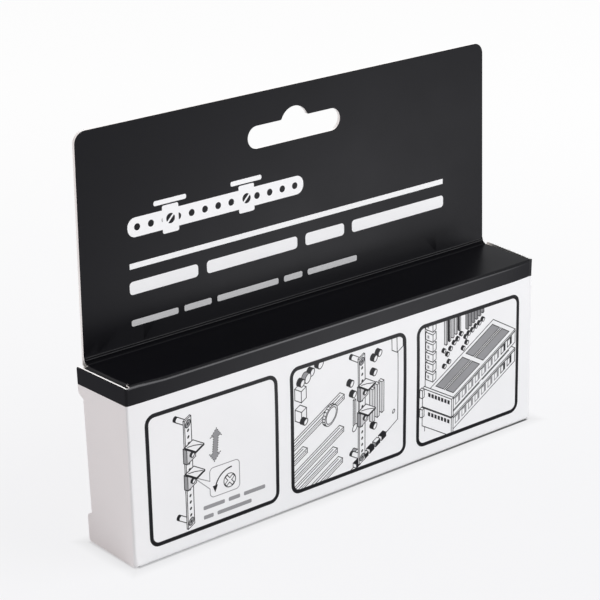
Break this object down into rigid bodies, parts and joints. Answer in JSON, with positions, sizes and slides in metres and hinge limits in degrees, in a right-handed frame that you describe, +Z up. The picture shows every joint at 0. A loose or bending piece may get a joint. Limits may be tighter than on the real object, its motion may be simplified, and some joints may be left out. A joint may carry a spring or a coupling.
{
  "type": "hang tab carton",
  "caption": "Flat folded-card carton with a tall black header, a die-cut hang slot and tuck-in end flaps that open, printed with framed fitting pictograms.",
  "frame": {"origin": "middle of the base panel's underside", "axes": "+X along the carton towards its right end as seen from the front, +Y from the front panel to the back, +Z up"},
  "size_m": [0.1448, 0.0206, 0.111],
  "materials": {
    "coated_card": "satin"
  },
  "bodies": {
    "carton": {"carton_body": "coated_card"},
    "left_flap": {"left_end_flap": "coated_card"},
    "right_flap": {"right_end_flap": "coated_card"}
  },
  "joints": [
    {"name": "left_flap_hinge", "type": "hinge", "parent": "carton", "child": "left_flap", "pos_m": [-0.07178, -0.01003, 0.0249], "axis": [0, 0, 1], "range_deg": [0, 135]},
    {"name": "right_flap_hinge", "type": "hinge", "parent": "carton", "child": "right_flap", "pos_m": [0.07178, -0.01003, 0.0249], "axis": [0, 0, -1], "range_deg": [0, 135]}
  ]
}
